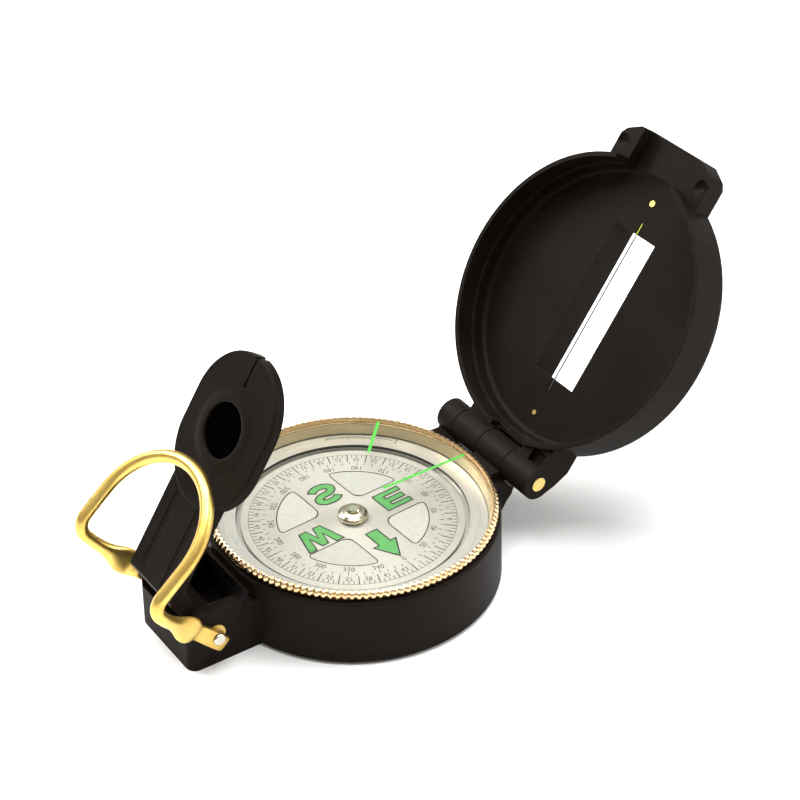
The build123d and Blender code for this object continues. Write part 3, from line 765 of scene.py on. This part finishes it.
# Unit glyphs, one wide and one high about the origin.
E_SHAPE = [(-0.5, -0.5), (0.5, -0.5), (0.5, -0.27), (-0.18, -0.27), (-0.18, -0.12), (0.44, -0.12),
           (0.44, 0.12), (-0.18, 0.12), (-0.18, 0.27), (0.5, 0.27), (0.5, 0.5), (-0.5, 0.5)]
W_SHAPE = [(-0.5, 0.5), (-0.30, -0.5), (-0.10, -0.5), (0.0, 0.02), (0.10, -0.5), (0.30, -0.5), (0.5, 0.5),
           (0.29, 0.5), (0.19, -0.12), (0.09, 0.42), (-0.09, 0.42), (-0.19, -0.12), (-0.29, 0.5)]


def add_card_letters():
    east = letter(E_SHAPE, 0.0, CARD_SENSE * 9.1, 5.6, 5.0)
    west = letter(W_SHAPE, 1.0, CARD_SENSE * -8.6, 7.6, 5.4)
    south = letter(s_outline(), -8.6, 0.0, 6.6, 5.9)
    arrow = [(5.4, -1.25), (9.4, -1.25), (9.4, -2.5), (13.9, 0.0), (9.4, 2.5), (9.4, 1.25), (5.4, 1.25)]
    shapes = [on_card(shape) for shape in (east, west, south, arrow)]
    plate_loops("card_letters", shapes, GLYPH_Z, GREEN_LETTER, "card", 0.02)
    outlines = []
    for shape in shapes:
        outlines += rim_shapes(shape, 0.27)
    plate_loops("card_letter_outlines", outlines, GLYPH_Z + 0.02, INK, "card", 0.012)


def add_flange_print():
    start, end = math.radians(159), math.radians(138)
    scale_radius = 23.8
    marks = arc_band(scale_radius, 0.09, start, math.radians(128), 40)
    count = 30
    for k in range(count + 1):
        marks.append(bar(23.3 if k % 5 else 23.0, scale_radius, start + (end - start) * k / count, 0.1))
    plate_loops("flange_scale", marks, FLANGE_TOP + 0.004, INK, "case", 0.01)
    word = [("2", 23.6, math.radians(126.2), 1.5, -1)]
    print_text(word, "flange_digit", FLANGE_TOP + 0.014, INK, "case")


def add_flange_bore_painted_shade():
    """The flange's bore in a dark colour: painted shade for the dark gap beside the card."""
    low = FLANGE_TOP - 0.58
    profile = [(21.29, low), (21.29, FLANGE_TOP - 0.005), (21.26, FLANGE_TOP - 0.005), (21.26, low)]
    lathe("flange_bore_painted_shade", profile, PAINTED_SHADE_EDGE, "case")


add_flange_bore_painted_shade()
add_card_scale()
add_card_panels()
add_card_letters()
add_flange_print()


# ------------------------------------------------------------------ thumb loop
LOOP_PIVOT = Vector((0.0, -34.6, 6.7))
LEG_RISE = math.radians(45.8)
ARCH_RISE = math.radians(41.5)
LEG_LENGTH = 20.45
LEG_DROP = 0.6
DROP_RUN = 13.2
ARCH_HALF_WIDTH = 13.35
ARCH_SHOULDER = 9.1
ARCH_CROWN = 13.0
BEND_RADIUS = 3.2
WIRE_RADIUS = 1.2
PIN_HOLE_RADIUS = 1.0


def add_thumb_loop():
    """Drawn wire with ends pressed flat: a paddle, then a square-edged tab with the pin's hole."""
    pivot = LOOP_PIVOT
    leg = Vector((0.0, -math.cos(LEG_RISE), math.sin(LEG_RISE)))
    down = Vector((0.0, -math.sin(LEG_RISE), -math.cos(LEG_RISE)))
    rise = Vector((0.0, math.cos(ARCH_RISE), math.sin(ARCH_RISE)))
    bend = pivot + leg * LEG_LENGTH
    half = ARCH_HALF_WIDTH
    bend_radius = BEND_RADIUS
    wire = (WIRE_RADIUS, WIRE_RADIUS, 2.0)

    def on_leg(x, distance):
        drop = LEG_DROP * min(1.0, (LEG_LENGTH - distance) / DROP_RUN)
        spot = pivot + leg * distance + down * drop
        return Vector((x, spot.y, spot.z))

    # (point, half size along X, half size across, squareness)
    stations = [
        (on_leg(9.9, -2.5), 0.46, 1.30, 5.0),
        (on_leg(9.9, -2.1), 0.58, 1.56, 5.0),
        (on_leg(9.9, 0.8), 0.60, 1.60, 5.0),
        (on_leg(9.9, 3.0), 0.60, 1.58, 4.8),
        (on_leg(9.92, 4.6), 0.60, 1.50, 4.4),
        (on_leg(10.1, 5.5), 0.60, 1.62, 3.4),
        (on_leg(10.75, 6.3), 0.60, 2.15, 2.6),
        (on_leg(11.1, 7.2), 0.64, 2.52, 2.4),
        (on_leg(11.2, 8.4), 0.68, 2.62, 2.3),
        (on_leg(11.3, 9.8), 0.76, 2.38, 2.2),
        (on_leg(11.5, 11.1), 0.92, 1.80, 2.1),
        (on_leg(11.85, 12.5), 1.08, 1.38, 2.0),
        (on_leg(12.25, 14.0), 1.18, 1.20, 2.0),
        (on_leg(12.7, 15.8), *wire),
    ]
    corner = Vector((half, bend.y, bend.z))
    half_angle = (-leg).angle(rise) / 2
    hub = corner + (rise - leg).normalized() * bend_radius / math.sin(half_angle)
    setback = bend_radius / math.tan(half_angle)
    arrive = corner - leg * setback - hub
    leave = corner + rise * setback - hub
    for k in range(9):
        spot = hub + arrive.slerp(leave, k / 8).normalized() * bend_radius
        spot.x = 13.0 + 0.35 * k / 8
        stations.append((spot, *wire))
    stations.append((corner + rise * 6.2, *wire))
    for k in range(25):
        a = math.pi / 2 * k / 24
        spot = corner + rise * (ARCH_SHOULDER + ARCH_CROWN * math.sin(a))
        spot.x = half * math.cos(a)
        stations.append((spot, *wire))
    mirrored = [(Vector((-p.x, p.y, p.z)), a, b, e) for p, a, b, e in stations[-2::-1]]
    stations += mirrored
    ring = 24
    points, faces = [], []
    total = len(stations)
    for i, (spot, half_x, half_y, square) in enumerate(stations):
        before = stations[max(0, i - 1)][0]
        after = stations[min(total - 1, i + 1)][0]
        way = (after - before).normalized()
        across = way.cross(Vector((1, 0, 0)))
        plane_normal = rise.cross(Vector((1, 0, 0))) if abs(way.x) > 0.55 else across
        if plane_normal.dot(Vector((0, -1, 0.6))) < 0:
            plane_normal = -plane_normal
        b_axis = (plane_normal - way * plane_normal.dot(way)).normalized()
        a_axis = b_axis.cross(way).normalized()
        for k in range(ring):
            t = 2 * math.pi * k / ring
            c, s = math.cos(t), math.sin(t)
            a = half_x * math.copysign(abs(c) ** (2 / square), c)
            b = half_y * math.copysign(abs(s) ** (2 / square), s)
            points.append(tuple(spot + a_axis * a + b_axis * b))
    for i in range(total - 1):
        for k in range(ring):
            j = (k + 1) % ring
            faces.append((i * ring + k, i * ring + j, (i + 1) * ring + j, (i + 1) * ring + k))
    faces.append(tuple(range(ring))[::-1])
    faces.append(tuple((total - 1) * ring + k for k in range(ring)))
    made = piece("brass_thumb_loop", points, faces, BRASS_LOOP, "loop")
    grid = bmesh.new()
    grid.from_mesh(made.data)
    bmesh.ops.recalc_face_normals(grid, faces=grid.faces)
    grid.to_mesh(made.data)
    grid.free()
    smooth = made.modifiers.new("smooth", "SUBSURF")
    smooth.levels = 1
    smooth.render_levels = 1
    hole = made.modifiers.new("hole", "BOOLEAN")
    cutter_mesh = bpy.data.meshes.new("cutter")
    cut = bmesh.new()
    bmesh.ops.create_cone(
        cut, cap_ends=True, segments=40, depth=40 * MM,
        radius1=PIN_HOLE_RADIUS * MM, radius2=PIN_HOLE_RADIUS * MM,
        matrix=Matrix.Translation(pivot * MM) @ Matrix.Rotation(math.pi / 2, 4, "Y"),
    )
    cut.to_mesh(cutter_mesh)
    cut.free()
    cutter = bpy.data.objects.new("cutter", cutter_mesh)
    bpy.context.scene.collection.objects.link(cutter)
    hole.object = cutter
    hole.solver = "EXACT"
    use_modifiers(made)
    bpy.data.objects.remove(cutter)
    smooth_by_angle(made.data, 40)
    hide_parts("thumb_loop")


add_thumb_loop()
